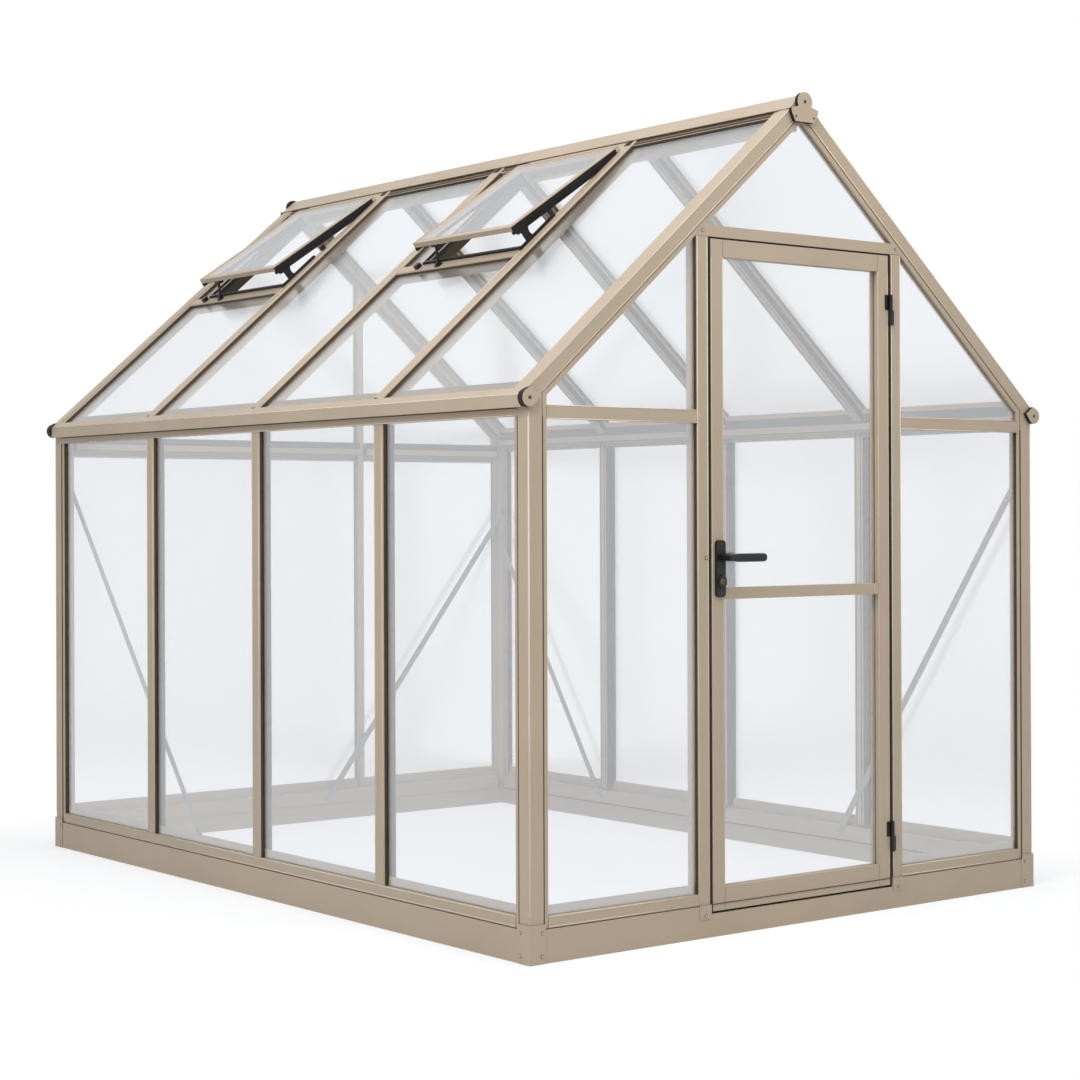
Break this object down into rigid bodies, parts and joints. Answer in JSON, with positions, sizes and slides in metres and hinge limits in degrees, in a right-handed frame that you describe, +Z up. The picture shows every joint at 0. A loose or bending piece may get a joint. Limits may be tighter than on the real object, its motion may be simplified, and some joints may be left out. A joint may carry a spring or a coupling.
{
  "type": "glass greenhouse",
  "caption": "Aluminium framed glass greenhouse with a ridge roof, a hinged gable door with a lever handle and roof vents propped open.",
  "frame": {"origin": "on the ground, under the middle of the overall box", "axes": "+Z up, +Y along the ridge from the door gable to the back gable, +X to the right seen from the door"},
  "size_m": [1.976, 2.72, 2.2949],
  "materials": {
    "frame_paint": "satin powder coat, warm tan",
    "brace_metal": "plain mill finish",
    "glass": "clear 4 mm glass",
    "black_plastic": "moulded black",
    "black_metal": "satin black",
    "lock_metal": "worn brass key cylinder"
  },
  "bodies": {
    "house": {"corner_posts": "frame_paint", "door_header": "frame_paint", "door_jamb_left": "frame_paint", "door_jamb_right": "frame_paint", "door_surround_plates": "frame_paint", "eave_beam_left": "frame_paint", "eave_beam_right": "frame_paint", "eave_end_caps": "black_plastic", "eave_end_plates": "frame_paint", "gable_posts_back": "frame_paint", "gable_rails_back": "frame_paint", "gable_rails_front": "frame_paint", "glass_back_wall": "glass", "glass_front": "glass", "glass_left_wall": "glass", "glass_right_wall": "glass", "glass_roof_left": "glass", "glass_roof_right": "glass", "hinge_fixed_leaves": "black_metal", "plinth_back": "frame_paint", "plinth_corner_plates": "frame_paint", "plinth_front": "frame_paint", "plinth_left": "frame_paint", "plinth_right": "frame_paint", "rafters_left": "frame_paint", "rafters_right": "frame_paint", "rake_back_left": "frame_paint", "rake_back_right": "frame_paint", "rake_front_left": "frame_paint", "rake_front_right": "frame_paint", "ridge_beam": "frame_paint", "ridge_capping": "frame_paint", "ridge_end_caps": "black_plastic", "ridge_end_plates": "frame_paint", "side_posts_left": "frame_paint", "side_posts_right": "frame_paint", "sill_back": "frame_paint", "sill_left": "frame_paint", "sill_right": "frame_paint", "sills_front": "frame_paint", "vent_glass": "glass", "vent_hinge_rails": "frame_paint", "vent_links": "black_metal", "vent_sashes": "frame_paint", "vent_seals": "black_plastic", "vent_side_bars": "frame_paint", "vent_side_channels": "black_plastic", "vent_stays": "black_metal", "vent_trimmers": "frame_paint", "wall_braces": "brace_metal"},
    "door": {"door_hinge_stile": "frame_paint", "door_lock_stile": "frame_paint", "door_rails": "frame_paint", "door_glass": "glass", "door_handle_plates": "black_metal", "lock_cylinder": "lock_metal", "hinge_moving_leaves": "black_metal"},
    "lever": {"door_lever": "black_metal"}
  },
  "joints": [
    {"name": "door_hinge", "type": "hinge", "parent": "house", "child": "door", "pos_m": [0.34625, -1.3125, 0], "axis": [0, 0, 1], "range_deg": [0, 110]},
    {"name": "lever_turn", "type": "hinge", "parent": "door", "child": "lever", "pos_m": [-0.315, -1.306, 1.013], "axis": [0, 1, 0], "range_deg": [0, 40], "stiffness_Nm_per_rad": 2, "springref_deg": -17.19}
  ]
}
